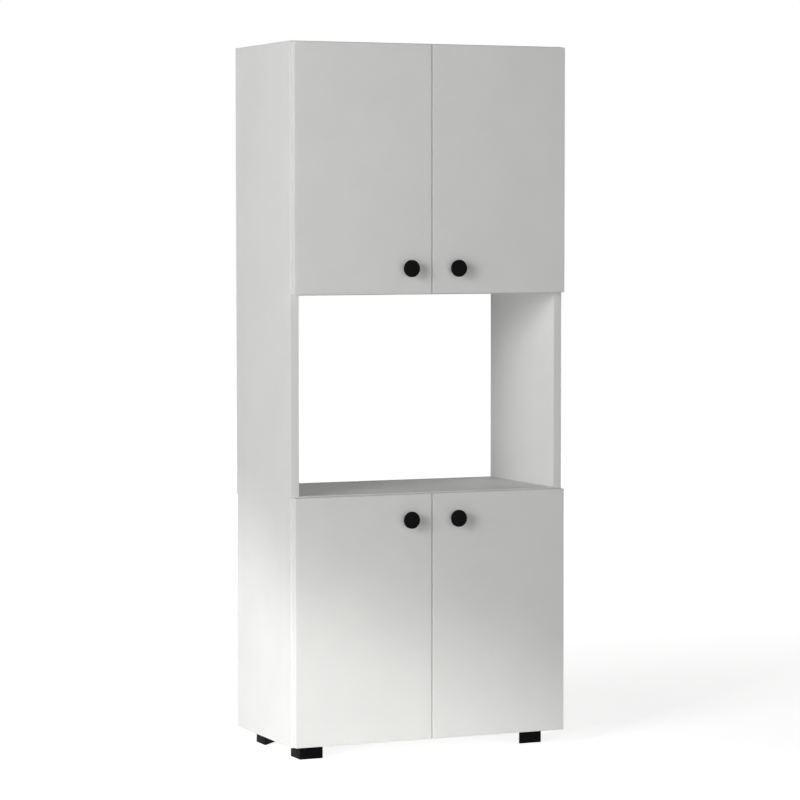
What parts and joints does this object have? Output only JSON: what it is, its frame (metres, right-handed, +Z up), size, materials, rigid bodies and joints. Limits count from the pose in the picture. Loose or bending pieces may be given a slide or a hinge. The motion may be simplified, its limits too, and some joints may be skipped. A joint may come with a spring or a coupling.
{
  "type": "microwave cabinet",
  "caption": "Tall free-standing kitchen cabinet: an open microwave niche between a lower and an upper cupboard with overlay doors on concealed hinges, round knobs and corner feet.",
  "frame": {"origin": "on the floor, under the middle of the cabinet's outline with its knobs", "axes": "+Z up, -Y towards the front with the doors, +X to the right as seen from the front"},
  "size_m": [0.6, 0.343, 1.438],
  "materials": {
    "white_board": "white satin laminate with matching edge banding",
    "back_board": "thin white-faced hardboard",
    "foot_plastic": "black moulded plastic, fine texture",
    "black_knob": "black satin",
    "nickel_steel": "nickel-plated pressed steel",
    "pin_steel": "drawn steel rivet",
    "zinc_screw": "zinc plated",
    "cast_zinc": "die-cast zinc",
    "beech_dowel": "fluted beech",
    "white_plastic": "white moulded plastic",
    "clear_pad": "soft translucent pad"
  },
  "bodies": {
    "carcass": {"side_panel_left": "white_board", "side_panel_right": "white_board", "top_panel": "white_board", "niche_ceiling_panel": "white_board", "niche_floor_panel": "white_board", "bottom_panel": "white_board", "shelf_upper": "white_board", "shelf_lower": "white_board", "back_panel_upper": "back_board", "back_panel_lower": "back_board", "foot_front_left": "foot_plastic", "foot_front_right": "foot_plastic", "foot_rear_left": "foot_plastic", "foot_rear_right": "foot_plastic", "foot_screws": "zinc_screw", "dowels": "beech_dowel", "cam_locks": "cast_zinc", "cam_bolts": "zinc_screw", "cam_covers": "white_plastic", "shelf_pins": "nickel_steel", "door_buffers": "clear_pad", "hinge_plates": "nickel_steel", "hinge_plate_screws": "zinc_screw", "hinge_arms": "nickel_steel", "hinge_arm_screws": "zinc_screw", "hinge_arm_pins": "pin_steel"},
    "outer_link_lower_left": {"outer_links_lower_left": "nickel_steel"},
    "door_lower_left": {"door_lower_left": "white_board", "knob_lower_left": "black_knob", "knob_screw_lower_left": "zinc_screw", "hinge_cups_lower_left": "nickel_steel", "cup_pins_lower_left": "pin_steel", "cup_screws_lower_left": "zinc_screw"},
    "inner_link_lower_left": {"inner_links_lower_left": "nickel_steel"},
    "outer_link_lower_right": {"outer_links_lower_right": "nickel_steel"},
    "door_lower_right": {"door_lower_right": "white_board", "knob_lower_right": "black_knob", "knob_screw_lower_right": "zinc_screw", "hinge_cups_lower_right": "nickel_steel", "cup_pins_lower_right": "pin_steel", "cup_screws_lower_right": "zinc_screw"},
    "inner_link_lower_right": {"inner_links_lower_right": "nickel_steel"},
    "outer_link_upper_left": {"outer_links_upper_left": "nickel_steel"},
    "door_upper_left": {"door_upper_left": "white_board", "knob_upper_left": "black_knob", "knob_screw_upper_left": "zinc_screw", "hinge_cups_upper_left": "nickel_steel", "cup_pins_upper_left": "pin_steel", "cup_screws_upper_left": "zinc_screw"},
    "inner_link_upper_left": {"inner_links_upper_left": "nickel_steel"},
    "outer_link_upper_right": {"outer_links_upper_right": "nickel_steel"},
    "door_upper_right": {"door_upper_right": "white_board", "knob_upper_right": "black_knob", "knob_screw_upper_right": "zinc_screw", "hinge_cups_upper_right": "nickel_steel", "cup_pins_upper_right": "pin_steel", "cup_screws_upper_right": "zinc_screw"},
    "inner_link_upper_right": {"inner_links_upper_right": "nickel_steel"}
  },
  "joints": [
    {"name": "lower_left_outer_link_turn", "type": "hinge", "parent": "carcass", "child": "outer_link_lower_left", "pos_m": [-0.27, -0.1244, 0.282], "axis": [0, 0, 1], "range_deg": [0, 29.71]},
    {"name": "lower_left_door_swing", "type": "hinge", "parent": "outer_link_lower_left", "child": "door_lower_left", "pos_m": [-0.2898, -0.1382, 0.282], "axis": [0, 0, -1], "range_deg": [0, 130]},
    {"name": "lower_left_inner_link_turn", "type": "hinge", "parent": "door_lower_left", "child": "inner_link_lower_left", "pos_m": [-0.2877, -0.1423, 0.282], "axis": [0, 0, 1], "range_deg": [0, 113.31]},
    {"name": "lower_right_outer_link_turn", "type": "hinge", "parent": "carcass", "child": "outer_link_lower_right", "pos_m": [0.27, -0.1244, 0.282], "axis": [0, 0, -1], "range_deg": [0, 29.71]},
    {"name": "lower_right_door_swing", "type": "hinge", "parent": "outer_link_lower_right", "child": "door_lower_right", "pos_m": [0.2898, -0.1382, 0.282], "axis": [0, 0, 1], "range_deg": [0, 130]},
    {"name": "lower_right_inner_link_turn", "type": "hinge", "parent": "door_lower_right", "child": "inner_link_lower_right", "pos_m": [0.2877, -0.1423, 0.282], "axis": [0, 0, -1], "range_deg": [0, 113.31]},
    {"name": "upper_left_outer_link_turn", "type": "hinge", "parent": "carcass", "child": "outer_link_upper_left", "pos_m": [-0.27, -0.1244, 1.186], "axis": [0, 0, 1], "range_deg": [0, 29.71]},
    {"name": "upper_left_door_swing", "type": "hinge", "parent": "outer_link_upper_left", "child": "door_upper_left", "pos_m": [-0.2898, -0.1382, 1.186], "axis": [0, 0, -1], "range_deg": [0, 130]},
    {"name": "upper_left_inner_link_turn", "type": "hinge", "parent": "door_upper_left", "child": "inner_link_upper_left", "pos_m": [-0.2877, -0.1423, 1.186], "axis": [0, 0, 1], "range_deg": [0, 113.31]},
    {"name": "upper_right_outer_link_turn", "type": "hinge", "parent": "carcass", "child": "outer_link_upper_right", "pos_m": [0.27, -0.1244, 1.186], "axis": [0, 0, -1], "range_deg": [0, 29.71]},
    {"name": "upper_right_door_swing", "type": "hinge", "parent": "outer_link_upper_right", "child": "door_upper_right", "pos_m": [0.2898, -0.1382, 1.186], "axis": [0, 0, 1], "range_deg": [0, 130]},
    {"name": "upper_right_inner_link_turn", "type": "hinge", "parent": "door_upper_right", "child": "inner_link_upper_right", "pos_m": [0.2877, -0.1423, 1.186], "axis": [0, 0, -1], "range_deg": [0, 113.31]}
  ],
  "couplings": [
    {"joint": "lower_left_outer_link_turn", "follows": "lower_left_door_swing", "ratio": 0.2285},
    {"joint": "lower_left_inner_link_turn", "follows": "lower_left_door_swing", "ratio": 0.8715},
    {"joint": "lower_right_outer_link_turn", "follows": "lower_right_door_swing", "ratio": 0.2285},
    {"joint": "lower_right_inner_link_turn", "follows": "lower_right_door_swing", "ratio": 0.8715},
    {"joint": "upper_left_outer_link_turn", "follows": "upper_left_door_swing", "ratio": 0.2285},
    {"joint": "upper_left_inner_link_turn", "follows": "upper_left_door_swing", "ratio": 0.8715},
    {"joint": "upper_right_outer_link_turn", "follows": "upper_right_door_swing", "ratio": 0.2285},
    {"joint": "upper_right_inner_link_turn", "follows": "upper_right_door_swing", "ratio": 0.8715}
  ]
}
